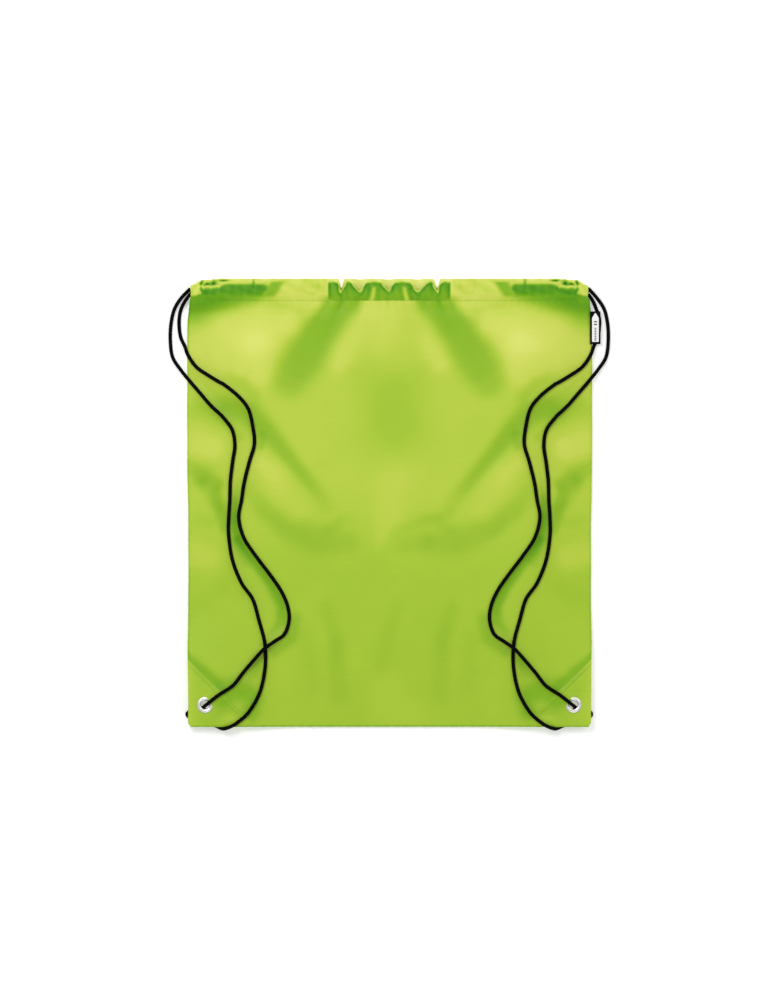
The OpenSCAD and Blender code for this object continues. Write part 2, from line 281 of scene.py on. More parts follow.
# Routes of the left side's strands; the right side's are their mirror images
OUTER_FROM_BACK = [(-178, 191.3, 2.6), (-186.5, 182.5, 2.2)]
OUTER_FROM_FRONT = [(-178, 191.3, 7.6), (-186, 182.5, 4)]
OUTER_ROUTE = [
    (-192.5, 172.5, 1.6), (-195.5, 159, 1.6), (-196, 144, 1.6), (-194, 130, 1.8), (-187, 119, 3.6),
    (-179, 109, 6), (-169.5, 98, 7.6), (-160, 87, 9.6), (-151.5, 79, 11), (-149, 76.5, 11.4),
    (-140.5, 65, 13), (-138, 51, 13.2), (-140, 36, 13), (-142, 19, 12.6), (-142.5, 2, 12.4),
    (-143.5, -14, 12.4), (-143.5, -30, 12.6), (-140, -52, 13.2), (-132, -72, 14.4), (-122, -86.5, 15.2),
    (-116.5, -105, 15.6), (-111.5, -124, 15.4), (-110.5, -141, 14.2), (-112.5, -158, 12.6),
    (-117, -173, 11.6), (-126, -188, 11.4), (-136, -197, 12), (-142, -200.5, 12.4), (-146, -202, 10.6),
    (-148.5, -202.5, 7.8), (-151, -202, 5), (-157, -199.5, 2.8), (-167, -197, 1.8), (-176, -194.5, 1.8),
    (-181, -190, 1.8), (-178, -186.5, 2), (-174, -186, 2.6), (-171.5, -186, 3)
]
INNER_FROM_FRONT = [(-178, 186.3, 7.6), (-183, 179.5, 5), (-186.5, 172.5, 2.4)]
INNER_FROM_BACK = [(-178, 186.3, 2.6), (-182, 180.5, 2.2), (-185, 173.5, 1.7)]
INNER_ROUTE = [
    (-188, 165, 1.6), (-188, 156, 1.6), (-186.5, 147, 1.6), (-183, 139.5, 2.8), (-180, 131.5, 5.4),
    (-172.5, 121, 7), (-161, 113, 9.3), (-151, 107, 10.8), (-148, 105.5, 11.4), (-135, 95, 14),
    (-126, 83.5, 14.8), (-122, 68, 15.2), (-120.5, 52, 15.2), (-125, 36, 15), (-129.5, 18, 14.6),
    (-132, 2, 14.2), (-134.5, -14, 14.2), (-130, -31.5, 14.8), (-119.5, -47.5, 15.6), (-107, -64, 15.8),
    (-97, -78.5, 15.8), (-91, -92, 15.8), (-89.5, -105, 15.8), (-93.5, -117.5, 16.2),
    (-103, -124.5, 17.6), (-112, -131, 18.4), (-121, -141, 16.8), (-130, -151.5, 14),
    (-139, -163, 12.8), (-147.5, -169, 12.6), (-151.5, -171.5, 12.6), (-155.5, -174.5, 13),
    (-160, -178, 13.6), (-163, -180.5, 12.9), (-165, -182, 10.4), (-165.5, -182.5, 7.8),
    (-166, -183.5, 5.4)
]
KNOT_Z = 3.4
KNOT_SIZE = 1.12
SIDES = {"left": -1, "right": 1}


def mirrored(points, side):
    """Points of the left side, put on the side asked for."""
    p = np.asarray(points, float).copy()
    p[:, 0] *= -side
    return p


def knot_path(side):
    """The line of a tight overhand knot under an eyelet, with its two short ends."""
    t = np.linspace(0.32, 2 * np.pi - 0.32, 90)
    x = (np.sin(t) + 2 * np.sin(2 * t)) * KNOT_SIZE
    y = (np.cos(t) - 2 * np.cos(2 * t)) * KNOT_SIZE
    z = -np.sin(3 * t) * 1.25
    return mirrored(as_points(x, y, z), side) + [side * (EYELET_X + 4), EYELET_Y - 5, KNOT_Z]


strand_paths = {}
cord_pieces = []
for side_name, side in SIDES.items():
    points, faces = tube_mesh(knot_path(side), CORD_R, 20, BRAID)
    knot = new_object(f"{side_name}_cord_knot", points, faces)
    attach(knot, "bag")
    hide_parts(f"{side_name}_knot")
    cord_pieces.append(knot)

for side_name, side in SIDES.items():
    outer_exit, inner_exit = (
        (OUTER_FROM_BACK, INNER_FROM_FRONT) if side < 0 else (OUTER_FROM_FRONT, INNER_FROM_BACK)
    )
    for strand, route in (("outer", outer_exit + OUTER_ROUTE), ("inner", inner_exit + INNER_ROUTE)):
        path = smooth_path(mirrored(route, side), 0.5)
        path[:, 2] = np.maximum(path[:, 2], CORD_R + 2 * BRAID + 0.02)
        strand_paths[side_name, strand] = path
        points, faces = tube_mesh(path, CORD_R + 0.1, 24, BRAID)
        piece = new_object(f"{side_name}_{strand}_strand", points, faces)
        node = f"{side_name}_{strand}_cord"
        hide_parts(node + "_top", node + "_strap", node + "_end")
        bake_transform(piece)
        cord_pieces.append(piece)


def front_casing_z(x):
    """The middle of the front casing's tube."""
    return front_z(x, STITCH_Y) - CLOTH_T / 2


def back_casing_z(x):
    """The middle of the back casing's tube."""
    return back_z(x, STITCH_Y) + CLOTH_T / 2


# The two cords lie side by side in each casing
LANE_LOW = (TOP_Y + STITCH_Y) / 2 - 4.2
LANE_HIGH = LANE_LOW + 5
LANE_START_X = 178
LANE_TURN_X = 173.5


def lane(y, height, start, stop, tuck):
    """A run of cord through a casing, kept to the middle of the casing where its upper edge dips."""
    x = np.linspace(start, stop, 121)
    far = np.abs(x)
    middle = 187.2 + 1.7 * ease((155 - far) / 6) - 3.0 * ease((64 - far) / 8)
    inside = middle + (-CORD_R if y == LANE_LOW else CORD_R)
    y = mix(y, inside, ease((174 - far) / 8))
    return as_points(x, y, height(x) + tuck * ease((176 - far) / 8))


for side_name, side in SIDES.items():
    y_front, y_back = (LANE_LOW, LANE_HIGH) if side < 0 else (LANE_HIGH, LANE_LOW)
    near, far = side * LANE_START_X, -side * LANE_TURN_X
    a = np.array([far, y_front, float(front_casing_z(far))])
    b = np.array([far, y_back, float(back_casing_z(far))])
    middle, out = (a + b) / 2, np.linalg.norm(a - b) / 2
    bend = [
        middle + (a - middle) * math.cos(t) + np.array([-side * out * math.sin(t), 0, 0])
        for t in np.radians([30, 60, 90, 120, 150])
    ]
    there = lane(y_front, front_casing_z, near, far, -0.8)
    back = lane(y_back, back_casing_z, far, near, 0.8)
    route = np.concatenate([there, bend, back])
    points, faces = tube_mesh(smooth_path(route, 1.2), CORD_R - 0.04, 16, braid=0.05)
    piece = new_object(f"{side_name}_drawcord_run", points, faces)
    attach(piece, "bag")
    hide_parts(f"{side_name}_drawcord_in_casing")
    cord_pieces.append(piece)


# ---- folds of the cloth

# Tone runs from 0, the deepest painted shade in the folds, to 1, the palest painted light on the ridges. Each
# trail is a soft band along a line of (x, y, half width, strength), painted light where its strength is
# positive and painted shade where it is negative; the trails of SIDE_SHADING_TRAILS are mirrored to both
# sides.
SIDE_SHADING_TRAILS = [
    # painted light on the bulge under the casing, beside the diagonal fold
    [(-166, 140, 18, 0.16), (-142, 149, 21, 0.27), (-116, 152, 22, 0.29), (-92, 159, 13, 0.26)],
    [(-96, 183, 5, 0.1), (-82, 181, 7, 0.14), (-67, 178, 8, 0.16), (-74, 166, 5, 0.05)],
    # painted light on the lobe inside the diagonal fold
    [(-28, 160, 8, 0.04), (-34, 146, 10, 0.1), (-40, 134, 12, 0.14), (-45, 124, 10, 0.13),
     (-46, 118, 8, 0.06)],
    [(-120, 135, 18, 0.24), (-116, 116, 13, 0.18), (-116, 104, 9, 0.04)],
    # painted shade in the smear from the side to the middle, with painted light and shade beside it
    [(-162, 92, 11, -0.1), (-144, 84, 13, -0.27), (-126, 80, 13, -0.26), (-109, 63, 10, -0.27),
     (-94, 45, 8, -0.24), (-80, 28, 7, -0.21), (-67, 12, 7, -0.16), (-56, -2, 8, -0.07)],
    [(-150, 124, 9, 0.08), (-136, 118, 8, 0.1)],
    [(-142, 112, 5, -0.06), (-130, 104, 6, -0.1), (-119, 95, 5, -0.08)],
    [(-147, 71, 4, -0.08), (-140, 64, 4, -0.12), (-133, 58, 4, -0.08)],
    [(-114, 60, 4.5, -0.1), (-115, 50, 4, -0.16)],
    [(-114, 34, 8, 0.1), (-104, 26, 10, 0.1), (-93, 8, 10, 0.05), (-80, -8, 9, 0.04)],
    [(-128, 14, 8, -0.08), (-112, -7, 9, -0.14), (-92, -24, 10, -0.13), (-62, -34, 15, -0.12),
     (-38, -36, 12, -0.09)],
    # painted light and shade of the folds outside the strap
    [(-172, 82, 9, -0.1), (-156, 78, 10, -0.08)],
    [(-176, 54, 13, 0.1), (-158, 48, 11, 0.16)],
    [(-180, 34, 6, -0.12), (-166, 22, 10, -0.24), (-153, 16, 6, -0.2)],
    [(-156, 8, 6, -0.2), (-151, -6, 7, -0.26), (-147, -24, 5, -0.16)],
    [(-167, 18, 5, -0.06), (-165, 10, 5, -0.08), (-159, -2, 5, -0.05)],
    [(-170, -16, 7, -0.05), (-160, -18, 6, -0.06)],
    [(-176, -46, 13, 0.1), (-161, -50, 12, 0.12)],
    [(-176, -92, 10, -0.02), (-150, -76, 9, -0.03)],
    # shade between and beside the strands
    [(-137, 14, 4, -0.04), (-138, 0, 4.5, -0.3), (-139, -14, 5, -0.42), (-136, -32, 6, -0.32),
     (-128, -52, 6, -0.12)],
    [(-134, -34, 5, -0.2), (-118, -56, 5, -0.3), (-105, -74, 5, -0.3), (-96, -92, 5, -0.28),
     (-96, -106, 5, -0.2), (-104, -117, 4, -0.1)],
    [(-84, -104, 6, -0.12), (-88, -122, 6, -0.14), (-104, -134, 5, -0.12)],
    [(-117, -140, 4, -0.18), (-122, -152, 6, -0.1)],
    # soft rays of painted shade above the bottom fold, with a little painted light
    [(-56, -95, 7, -0.05), (-47, -125, 8, -0.08), (-46, -172, 9, -0.05)],
    [(-54, -24, 6, -0.05), (-44, -17, 6, -0.07), (-32, -14, 5, -0.03)],
    [(-74, -120, 8, -0.03), (-68, -165, 9, -0.03)],
    [(-96, -150, 9, 0.02), (-92, -185, 9, 0.02)],
    # painted shade round the corner patch
    [(-184, -136, 4, -0.2), (-166, -152, 5.5, -0.22), (-150, -168, 6, -0.18)],
    [(-148, -164, 8, -0.14), (-136, -168, 12, -0.2), (-122, -174, 9, -0.22), (-124, -188, 8, -0.2)],
    [(-155, -178, 5, -0.14), (-146, -178, 6, -0.14)],
    [(-146, -188, 6, -0.08), (-134, -192, 5, -0.12)],
]
# the deep shade where the mouth's corner falls away
CORNER_SHADE = [
    (-186, 177, 16.5, -0.52), (-174, 177, 15.5, -0.53), (-166, 179.5, 13.5, -0.58), (-150, 183.5, 12.8, -0.6),
    (-140, 184, 11, -0.52), (-130, 184.5, 8.5, -0.45), (-120, 185, 6.5, -0.4), (-110, 187, 4.5, -0.3),
]
# painted shade along the diagonal fold from the gathers
DIAGONAL_FOLD_SHADE = [
    (-37, 188, 13, -0.34), (-38, 180, 13, -0.34), (-47.5, 170, 14, -0.33), (-55.5, 160, 16, -0.32),
    (-63, 150, 17.5, -0.3), (-69.5, 140, 18.5, -0.29), (-76, 130, 19.5, -0.28), (-82, 120, 19, -0.26),
    (-88, 110, 17.5, -0.2), (-95, 100, 12, -0.05),
]
# painted light and shade of the folds in the middle, not mirrored
MIDDLE_SHADING_TRAILS = [
    [(-5, 183, 17, 0.16), (-10, 172, 18, 0.14), (-6, 150, 24, 0.09), (2, 128, 20, 0.04)],
    [(4, 98, 31, -0.12), (5, 70, 33, -0.13)],
    [(6, 16, 18, 0.05), (0, -8, 14, 0.08), (-8, -34, 6, 0.07), (-10, -44, 3, 0.02)],
    [(8, -92, 6, -0.04), (-2, -122, 8, -0.05), (-8, -150, 7, -0.02)],
    [(0, -168, 18, 0.05), (2, -184, 22, 0.04)],
    [(14, -38, 9, -0.07), (32, -34, 10, -0.06)],
    [(54, -10, 6, -0.07), (26, -18, 6, -0.08), (4, -28, 5, -0.04)],
]


def trail(x, y, line, power=2.6):
    """The painted light (positive strength) and painted shade (negative strength) of a soft band along a line
    of (x, y, half width, strength).
    """
    best = np.zeros_like(x)
    for (ax, ay, a_width, a_strength), (bx, by, b_width, b_strength) in zip(line, line[1:]):
        dx, dy = bx - ax, by - ay
        t = np.clip(((x - ax) * dx + (y - ay) * dy) / (dx**2 + dy**2), 0, 1)
        d = np.hypot(x - ax - t * dx, y - ay - t * dy)
        width = a_width + t * (b_width - a_width)
        value = (a_strength + t * (b_strength - a_strength)) * np.exp(-((d / width) ** power))
        best = np.where(np.abs(value) > np.abs(best), value, best)
    return best


def painted_fold_shading(x, y):
    """The painted light and shade of the cloth's folds: how much lighter or darker the cloth is than its
    plain tone.
    """
    total = sum(trail(-np.abs(x), y, line) for line in SIDE_SHADING_TRAILS)
    total = total + trail(-np.abs(x), y, CORNER_SHADE, 2.0) + trail(-np.abs(x), y, DIAGONAL_FOLD_SHADE, 3.4)
    return total + sum(trail(x, y, line) for line in MIDDLE_SHADING_TRAILS)


def waves(x, y, seed):
    """Slow irregular waves between about -1 and 1."""
    total = 0
    rates = [(0.021, 0.034), (-0.043, 0.027), (0.061, -0.052), (0.09, 0.083), (-0.12, 0.14)]
    for k, (fx, fy) in enumerate(rates):
        total = total + np.sin(fx * x + fy * y + seed * (k + 1.7) * 1.9) / (1 + 0.5 * k)
    return total / 3


# Where the cord gathers the casings: x, half width, and depth of each pleat
PLEATS = [
    (-62, 3.4, 0.5), (-54, 1.8, -1.1), (-48, 3.0, 0.8), (-41.6, 1.7, -1.6), (-35, 3.2, 0.9), (-27, 3.0, -1.3),
    (-19, 2.6, 0.8), (-13, 2.0, 0.7), (-7, 2.0, -0.5), (-0.5, 2.2, -1.3), (6, 2.0, -0.4), (10, 2.2, 0.8),
    (18, 2.8, 0.8), (26.7, 3.0, -1.3), (35, 3.2, 0.9), (42.7, 1.7, -1.6), (48, 3.0, 0.8), (53, 1.8, -1.1),
    (61, 3.4, 0.5),
]


def pleats(x, spread=1.0):
    """The gathers' ripple across the bag, stretched sideways by spread."""
    return sum(depth * bell(x - centre * spread, width * spread) for centre, width, depth in PLEATS)


def seam_puckers(along):
    """Small uneven ripples along a seam."""
    return 0.5 * np.sin(along * 0.74) + 0.3 * np.sin(along * 1.31 + 1.2) + 0.2 * np.sin(along * 0.29 + 0.4)


def panel_folds(x, y):
    """Heights of the folds of the front panel over the CAD's surface."""
    from_side = HALF_W - np.abs(x)
    from_fold = y - FOLD_Y
    below = STITCH_Y - y
    free = swell(from_side, 26) * swell(from_fold, 26)
    h = FOLD_HEIGHT * painted_fold_shading(x, np.minimum(y, 172)) * free * ease((186 - y) / 22)
    h = h + 0.35 * waves(x, y, 1.3) * free
    h = h + 0.75 * pleats(x, 1 + below / 90) * np.exp(-below / 13)
    h = h + 0.22 * seam_puckers(y) * np.exp(-from_side / 5)
    h = h + 0.16 * seam_puckers(x) * np.exp(-from_fold / 5)
    return h - 0.12 * bell(y - STITCH_LINE_Y - 0.1, 0.9)


def edge_drop(x, y):
    """How far a panel's surface rolls over towards the seam at its edges."""
    d = np.minimum(HALF_W - np.abs(x), y - FOLD_Y)
    r = np.clip(1 - d / 1.8, 0, 1)
    return 0.75 * (1 - np.sqrt(1 - r * r * 0.98))


# Points of the strands where they lie on the front panel
over_cloth = []
for path in strand_paths.values():
    p = path[::4]
    on_panel = (np.abs(p[:, 0]) < HALF_W - 2) & (p[:, 1] > FOLD_Y + 2) & (p[:, 1] < STITCH_Y)
    above = p[:, 2] > front_z(p[:, 0], np.clip(p[:, 1], FOLD_Y, STITCH_Y)) - 0.5
    over_cloth.append(p[on_panel & above])
over_cloth = np.concatenate(over_cloth)


def pressed(x, y, z):
    """Brings the cloth up to the cords that lie on it, with a groove under each."""
    out = z.copy()
    for j in range(z.shape[0]):
        d = np.hypot(x[j][:, None] - over_cloth[None, :, 0], y[j][:, None] - over_cloth[None, :, 1])
        near = d.min(axis=1)
        low = np.where(d < np.maximum(near + 0.6, 3)[:, None], over_cloth[None, :, 2], 99).min(axis=1)
        bottom = low - CORD_R - 0.02
        pull = bell(near, 6) * (near < 20)
        rested = z[j] + np.clip(bottom - z[j], -3, 1.6) * pull
        groove = low - np.sqrt(np.clip((CORD_R + 0.06) ** 2 - near**2, 0, None)) - 0.02
        out[j] = np.where(near < CORD_R, np.minimum(rested, groove), np.minimum(rested, bottom + near * 1.2))
        out[j] = np.where(near > 20, z[j], out[j])
    return out


def eyelet_hole(points, faces, tone):
    """Opens a round hole for each eyelet in a sheet, and leaves out the points that no face uses then."""
    points = points.copy()
    inside = np.zeros(len(points), bool)
    for side in (-1, 1):
        centre = np.array([side * EYELET_X, EYELET_Y])
        out = points[:, :2] - centre
        r = np.maximum(np.hypot(out[:, 0], out[:, 1]), 1e-6)
        close = r < EYELET_HOLE_R
        points[close, :2] = centre + out[close] / r[close, None] * EYELET_HOLE_R
        inside |= close
    used, faces = np.unique(faces[~inside[faces].all(axis=1)], return_inverse=True)
    return points[used], faces.reshape(-1, 4), tone.ravel()[used]


def base_tone_and_painted_light(y):
    """The cloth's plain tone, with painted light making it a little paler in the upper half."""
    return 0.665 + 0.12 * ease((y + 75) / 100)


def edge_wander(x, y):
    """Shifts the side edges in and out a little, as sewn cloth does."""
    pull = np.exp(-(HALF_W - np.abs(x)) / 12)
    out = ease((y + 30) / 75) + 0.6 * bell(y + 128, 20) - 0.15 + 0.6 * (x > 0)
    drawn_in = 2.9 * ease((y - 158) / 30)
    round_corner = 1.9 * np.clip(1 - (y - FOLD_Y) / 3.4, 0, 1) ** 2 * np.exp(-(HALF_W - np.abs(x)) / 3)
    wobble = 0.1 * np.sin(y * 0.11 + np.sign(x)) + 0.12 * seam_puckers(y)
    return np.sign(x) * (pull * (out - drawn_in + wobble) - round_corner)


def make_panel(level):
    """The front or the back panel, on a grid of about 1.5 mm."""
    xs = np.linspace(-HALF_W, HALF_W, 241)
    ys = np.linspace(FOLD_Y + 0.8, STITCH_Y + 1.2, 254)
    x, y = np.meshgrid(xs, ys)
    below = STITCH_Y - y
    if level == "front":
        z = pressed(x, y, front_z(x, y) + panel_folds(x, y) - edge_drop(x, y))
        # the front panel's tone: painted light and shade of the folds, painted shade within a millimetre of
        # the side edges, and painted light and shade of the pleats and puckers near the seam
        tone = base_tone_and_painted_light(y) + painted_fold_shading(x, y) + 0.02 * waves(x, y, 0.4)
        tone = tone - 0.2 * bell(HALF_W - np.abs(x), 1.0)
        tone = tone + 0.1 * pleats(x, 1 + below / 90) * np.exp(-below / 9)
        tone = tone + 0.04 * seam_puckers(x * 1.3) * bell(y - 179, 4)
        tone = np.where(tone > 0.88, 0.88 + 0.45 * (tone - 0.88), tone)
    else:
        folds = 0.5 * panel_folds(-x, y)
        z = back_z(x, y) + edge_drop(x, y) + np.clip(folds + 0.35, FLOOR_GAP, 3)
        # the back panel's tone: half the folds' painted light and shade
        tone = base_tone_and_painted_light(y) - 0.03 + 0.5 * painted_fold_shading(x, y) + 0.03 * waves(x, y, 2.4)
    sheet = as_points(x + edge_wander(x, y), y, z)
    sheet, faces, tone = eyelet_hole(sheet, grid_faces(*x.shape), tone)
    upper, lower = (0, CLOTH_WALL) if level == "front" else (CLOTH_WALL, 0)
    points, faces = shell(sheet + [0, 0, upper], faces, sheet - [0, 0, lower])
    return cloth_object(f"{level}_panel_cloth", points, faces, tone)


def make_bottom_fold():
    """The cloth that turns from the back panel up to the front panel."""
    xs = np.linspace(-HALF_W + 0.6, HALF_W - 0.6, 241)
    turn = np.linspace(-np.pi / 2, np.pi / 2, 9)
    x, t = np.meshgrid(xs, turn)
    start_y = FOLD_Y + 0.8
    low = back_z(x, start_y) + edge_drop(x, start_y)
    high = front_z(x, start_y) - edge_drop(x, start_y)
    z = (low + high) / 2 + (high - low) / 2 * np.sin(t)
    y = start_y + 0.05 + 0.1 * seam_puckers(x) - 1.7 * np.cos(t)
    x = x + edge_wander(x, y)
    inner = as_points(x, y + 0.3 * np.cos(t), z - 0.3 * np.sin(t))
    points, faces = shell(as_points(x, y, z), grid_faces(*x.shape), inner)
    # a tone below the panel's, as painted shade along the turned edge
    return cloth_object("bottom_fold_cloth", points, faces, 0.52 + 0.05 * seam_puckers(x).ravel())


def make_side_seam(side_name, side):
    """The seam allowance inside the edge: two raw layers, turned in and overlocked."""
    ys = np.linspace(FOLD_Y + 1.2, STITCH_Y - 4.2, 250)
    y, v = np.meshgrid(ys, np.linspace(0, 1, 9), indexing="ij")
    x = side * (HALF_W - 0.5 - 2.2 * v) + edge_wander(side * HALF_W * np.ones_like(y), y)
    low = back_z(x, y) + CLOTH_WALL
    high = front_z(x, y) - CLOTH_WALL
    middle = as_points(x, y, low + (high - low) * (0.5 + 0.1 * np.sin(y * 1.6) * v))
    half = as_points(0 * x, 0 * y, 0.22 + 0.06 * np.sin(y * 2.6) * v)
    faces = grid_faces(*x.shape)
    if side > 0:
        faces = faces[:, ::-1]
    points, faces = shell(middle + half, faces, middle - half)
    return cloth_object(f"{side_name}_side_seam_cloth", points, faces, np.full(x.size, 0.55))


# ---- casings

# Dips of the gathered edges: x, half width and depth of each
NOTCHES = {
    "front": [(-42.9, 3.6, 7.4), (-26.8, 7.0, 7.4), (-0.9, 6.2, 6.6), (26, 8.2, 7.4), (42.7, 3.6, 7.4)],
    "back": [(-42.9, 3.0, 8.2), (-27, 6.0, 0.7), (-0.9, 6.0, 0.9), (26, 7.0, 0.7), (42.7, 3.4, 8.2)],
}
# Rounded tops between the dips: x and half width
ARCHES = [(-50.2, 2.6), (-36.6, 1.8), (-13.4, 4.4), (11.6, 4.2), (36.8, 1.7), (50, 2.6)]
# Slits where small folds cross the outer thirds of the edge: distance from the middle, half width, depth
SLITS = [(121, 0.8, 0.9), (108, 0.9, 1.0), (152, 1.2, 1.2), (160, 1.3, 0.8), (167, 1.2, 1.0)]


def casing_top(x, which):
    """The height in y of a casing's upper edge."""
    far = np.abs(x)
    if which == "front":
        top = TOP_Y - 0.6 - 2.0 * ease((far - 98) / 16) - 3.4 * ease((far - 144) / 13)
        top = top + 0.4 * ease((far - 168) / 5) - 2.8 * ease((58 - far) / 4)
        top = top + 1.1 * sum(bell(x - centre, width) for centre, width in ARCHES)
        top = top - sum(depth * bell(far - centre, width) for centre, width, depth in SLITS)
    else:
        top = TOP_Y + 0.25 - 0.25 * np.abs(np.sin(far * 0.21)) - 0.9 * ease((far - 156) / 8)
        top = top - 5.0 * ease((far - 171) / 9) ** 2
        top = top - 0.3 * ease((far - 150) / 4) * (1 + np.sin(far * 0.9)) / 2
    for centre, width, depth in NOTCHES[which]:
        v = np.clip(1 - np.abs(x - centre) / width, 0, None)
        top = top - depth * (0.15 * v + 0.85 * ease(v))
    return top


def gathered_shading(x, y):
    """Painted light and shade of the front casing's middle: painted shade along dark arches, painted light
    where its folds turn over, and two strips of painted highlight.
    """
    up = np.clip((y - STITCH_Y) / 16, 0, 1)
    far = np.abs(x)
    tone = 0.36 - 0.14 * ease((up - 0.2) / 0.5) + 0.06 * ease((10 - far) / 3)
    tone = tone + 0.03 * np.sin(x * 0.9 + 4 * up)
    for centre, width, _ in NOTCHES["front"]:
        floor = casing_top(np.array(centre), "front") - (1.8 if width > 5 else 2.6)
        lean = x - centre + 0.8 * np.sin((y - floor) * 0.45 + centre)
        open_up = 1 - ease(1 - np.abs(lean) / (width + 2))
        above = y - (floor + (TOP_Y - 2.5 - floor) * open_up)
        close = ease((width + 3 - np.abs(x - centre)) / 1.5)
        tone = tone - 0.2 * bell(above + 2.2, 1.9) * close
        tone = mix(tone, 0.88, ease((above + 0.3) / 1.2) * close)
    lean = 3.0 * (1 - up) ** 1.5
    strip = bell(far - 12.8 - lean, 2.2) * ease((0.82 - up) / 0.2)
    tone = tone + 0.5 * strip - 0.12 * bell(far - 17.2 - lean, 1.6) * (up < 0.7)
    tone = tone - 0.1 * bell(far, 8) * ease((y - 188) / 2)
    rim = ease((y - casing_top(x, "front") + 1.7) / 1.0)
    tone = mix(tone, 0.84, 0.85 * rim)
    return tone - 0.2 * bell(far - 53.2, 1.0) - 0.14 * bell(far - 38.0, 1.0) * up


# Painted shadow in the gaps between the two casings near the corners: distance from the middle, y, half
# width, half height
GAP_SHADOWS = [(171.4, 196.2, 1.6, 2.4), (164.6, 195.2, 3.0, 1.6), (158, 196.0, 3.0, 2.5), (148.5, 198.5, 4.0, 0.9)]


def casing_shading(x, y, which):
    """Painted light and shade of a casing: deep green painted shade in the outer thirds under a rim of
    painted light, painted light beside the gathers, and mixed in the gathers.
    """
    far = np.abs(x)
    if which == "back":
        # the back casing: painted light keeps it at the palest tones, with painted shade along a crease and
        # painted shadow in the gaps
        tone = 1.05 + 0.06 * ease((60 - far) / 4) + 0.05 * np.sin(x * 0.5)
        tone = tone - 0.5 * bell(far - 121.5, 1.0)
        for centre, middle_y, half_x, half_y in GAP_SHADOWS:
            tone = tone - 1.3 * bell(far - centre, half_x) * bell(y - middle_y, half_y)
        return tone
    shaded = ease((far - 107 + 1.5 * np.sin(y * 0.6)) / 6)
    # a slanting stroke of painted shade on the inner side of the outer thirds
    stroke = np.exp(-(((far - 102 - (194 - y) * 0.6) / 6.5) ** 4)) * ease((198.5 - y) / 3)
    deep = 0.11 + 0.22 * ease((190 - y) / 8) + 0.03 * np.sin(x * 0.31 + y * 0.8) + 0.03 * np.sin(x * 0.77)
    deep = deep - 0.1 * bell(y - 187, 2.5) * ease((far - 150) / 8)
    tone = 0.95 - 0.5 * stroke * (1 - shaded)
    tone = mix(tone, deep, shaded)
    rim = ease((y - casing_top(x, which) + 4.2) / 3.4) * ease((far - 104) / 8)
    tone = mix(tone, 0.92, rim * ease((171 - far) / 2))
    # painted shade along a crease near the upper edge
    crease = bell(far - 121.5 + 0.06 * (y - 190), 1.1) * ease((y - 189) / 3)
    tone = mix(tone, 0.02, 0.9 * crease)
    # soft patches of painted shade between the gathers and the outer thirds
    middle = ease((103 - far) / 8) * ease((far - GATHER_HALF_W) / 4)
    tone = tone - middle * 0.04 * (1 + np.sin(x * 0.3 + 0.5 * y)) * ease((y - 184) / 6)
    tone = tone - middle * 0.05 * bell(np.hypot(far - 70, y - 193.5) - 7, 1.6)
    tone = tone - middle * 0.07 * bell(far - 68, 9) * bell(y - 193, 2.5)
    # painted light on the ear at the mouth's corner
    ear = ease((far - 168.8 - 0.12 * (y - 186) - 0.5 * np.sin(y * 0.9)) / 2.2)
    ear = ear * ease((y - 183 - 0.35 * np.clip(176 - far, 0, 8)) / 2.4)
    tone = mix(tone, 0.93 + 0.06 * np.sin(far * 0.8 + y * 0.5), ear)
    # near the seam the casing takes the panel's painted light and shade
    at_seam = base_tone_and_painted_light(STITCH_Y) + painted_fold_shading(x, np.full_like(x, STITCH_Y))
    tone = mix(at_seam, tone, ease((y - 181.5) / 5))
    inner = ease((GATHER_HALF_W + 0.2 - far) / 1.2)
    gathers = gathered_shading(x, y)
    gathers = mix(gathers, at_seam, 0.6 * ease((184.5 - y) / 4) * ease((far - 36) / 6))
    return mix(tone, gathers, inner)


def casing_surface(x, angle, which, inset=0.0):
    """A point of the casing's flat tube; angle 0 is its upper edge, and a quarter turn its outer face."""
    height = front_casing_z if which == "front" else back_casing_z
    top = casing_top(x, which)
    half_h = (top - STITCH_Y + 0.6) / 2 - inset * 1.6
    half_t = CASING_T / 2 - 0.2 - inset
    c, s = np.cos(angle), np.sin(angle)
    y = (top + STITCH_Y - 0.6) / 2 + half_h * np.sign(c) * np.abs(c) ** 0.9
    up = np.clip((y - STITCH_Y) / 16, 0, 1)
    far = np.abs(x)
    relief = 0.8 * pleats(x * (1 + 0.04 * np.sin(x * 0.2) * up), 1)
    small = 0.35 * np.sin(x * 0.46 + 2.2 * up) * ease((far - GATHER_HALF_W) / 8)
    small = small + 0.12 * np.sin(x * 1.1 + up * 4)
    slit = sum(bell(far - centre, width + 0.4) for centre, width, _ in SLITS) * ease((up - 0.4) / 0.3)
    ear = 0.9 * bell(far - 172, 3.0) * ease((up - 0.1) / 0.3)
    rise = np.clip(relief + small - 0.8 * slit + ear, -0.3, None)
    face = np.where(c < 0, (1 - np.abs(c) ** 1.6) ** 1.1, np.abs(s) ** 0.8)
    low = (1 - c) / 2
    z = height(x) + half_t * np.sign(s) * face + 0.45 * low**2
    if which == "front":
        z = z + panel_folds(x, np.full_like(x, STITCH_Y)) * low**4
    return y, z + np.where(s > 0, s, s * 0.4) * rise * (1 - 0.4 * inset)


